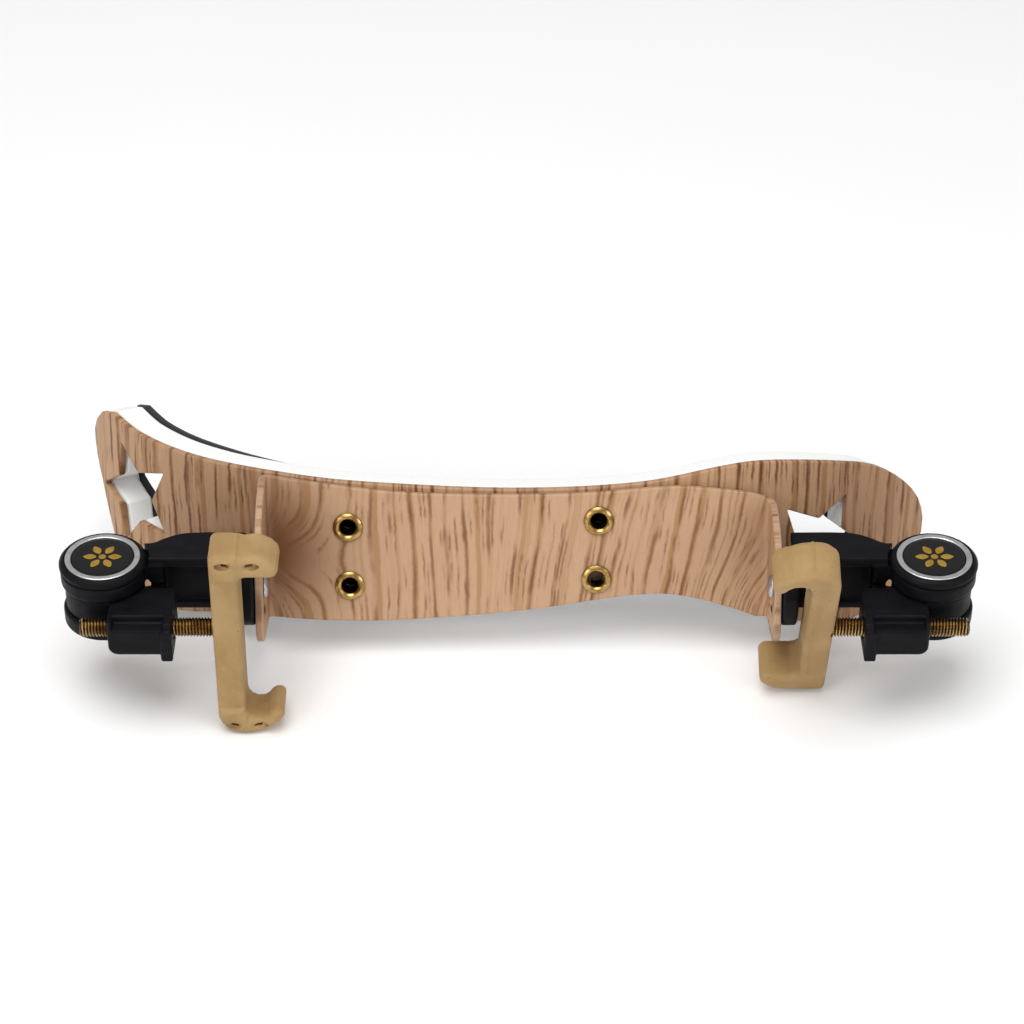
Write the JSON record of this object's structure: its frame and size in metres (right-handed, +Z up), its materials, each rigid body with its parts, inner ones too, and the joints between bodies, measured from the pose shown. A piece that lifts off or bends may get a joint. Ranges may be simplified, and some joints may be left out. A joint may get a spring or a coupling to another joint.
{
  "type": "violin shoulder rest",
  "caption": "Folding violin shoulder rest: curved padded plate with a U bracket, and at each end a hinged arm, swivel block, threaded rod and rubber fork.",
  "frame": {"origin": "centre of the bounding box on the surface it stands on", "axes": "+X along the plate from the strongly curved shoulder end to the other, +Y from the forks to the pad, +Z up"},
  "size_m": [0.2348, 0.0924, 0.0583],
  "materials": {
    "plate_grain": "printed wood grain, satin varnish",
    "bracket_grain": "sheet with a printed wood-grain film, satin",
    "white_foam": "closed-cell foam, matte",
    "black_backing": "thin dense foam, matte",
    "eyelet_brass": "polished, slightly worn",
    "black_plastic": "moulded, matte",
    "badge_plastic": "gloss with a gold rosette",
    "ring_silver": "satin chrome",
    "steel": "zinc plated",
    "rod_brass": "cut thread",
    "fork_rubber": "moulded, matte",
    "fork_core": "moulded, matte"
  },
  "bodies": {
    "frame": {"base_plate": "plate_grain", "foam_pad": "white_foam", "pad_backing": "black_backing", "centre_bracket": "bracket_grain", "eyelet_left_upper": "eyelet_brass", "eyelet_left_lower": "eyelet_brass", "eyelet_right_upper": "eyelet_brass", "eyelet_right_lower": "eyelet_brass"},
    "left_arm": {"left_arm": "black_plastic", "left_arm_rivet": "steel", "left_pivot_pin": "steel", "left_cap": "black_plastic", "left_cap_ring": "ring_silver", "left_cap_badge": "badge_plastic"},
    "left_block": {"left_swivel_block": "black_plastic"},
    "left_rod": {"left_threaded_rod": "rod_brass"},
    "left_fork": {"left_fork_core": "fork_core", "left_fork_rubber": "fork_rubber"},
    "right_arm": {"right_arm": "black_plastic", "right_arm_rivet": "steel", "right_pivot_pin": "steel", "right_cap": "black_plastic", "right_cap_ring": "ring_silver", "right_cap_badge": "badge_plastic"},
    "right_block": {"right_swivel_block": "black_plastic"},
    "right_rod": {"right_threaded_rod": "rod_brass"},
    "right_fork": {"right_fork_core": "fork_core", "right_fork_rubber": "fork_rubber"}
  },
  "joints": [
    {"name": "left_arm_tilt", "type": "hinge", "parent": "frame", "child": "left_arm", "pos_m": [-0.0675, -0.01919, 0.03105], "axis": [1, 0, 0], "range_deg": [-12, 10]},
    {"name": "left_swivel", "type": "hinge", "parent": "left_arm", "child": "left_block", "pos_m": [-0.1062, -0.01919, 0.031], "axis": [0, 0, 1], "range_deg": [-95, 0]},
    {"name": "left_height_screw", "type": "slide", "parent": "left_block", "child": "left_rod", "axis": [1, 0, 0], "range_m": [-0.0095, 0.002]},
    {"name": "left_fork_turn", "type": "hinge", "parent": "left_rod", "child": "left_fork", "pos_m": [-0.0769, -0.03279, 0.0285], "axis": [1, 0, 0], "range_deg": [-7, 12]},
    {"name": "right_arm_tilt", "type": "hinge", "parent": "frame", "child": "right_arm", "pos_m": [0.0675, -0.01919, 0.03105], "axis": [1, 0, 0], "range_deg": [-12, 10]},
    {"name": "right_swivel", "type": "hinge", "parent": "right_arm", "child": "right_block", "pos_m": [0.1062, -0.01919, 0.031], "axis": [0, 0, 1], "range_deg": [0, 95]},
    {"name": "right_height_screw", "type": "slide", "parent": "right_block", "child": "right_rod", "axis": [-1, 0, 0], "range_m": [-0.0068, 0]},
    {"name": "right_fork_turn", "type": "hinge", "parent": "right_rod", "child": "right_fork", "pos_m": [0.0769, -0.03279, 0.0285], "axis": [1, 0, 0], "range_deg": [-20, 2]}
  ]
}
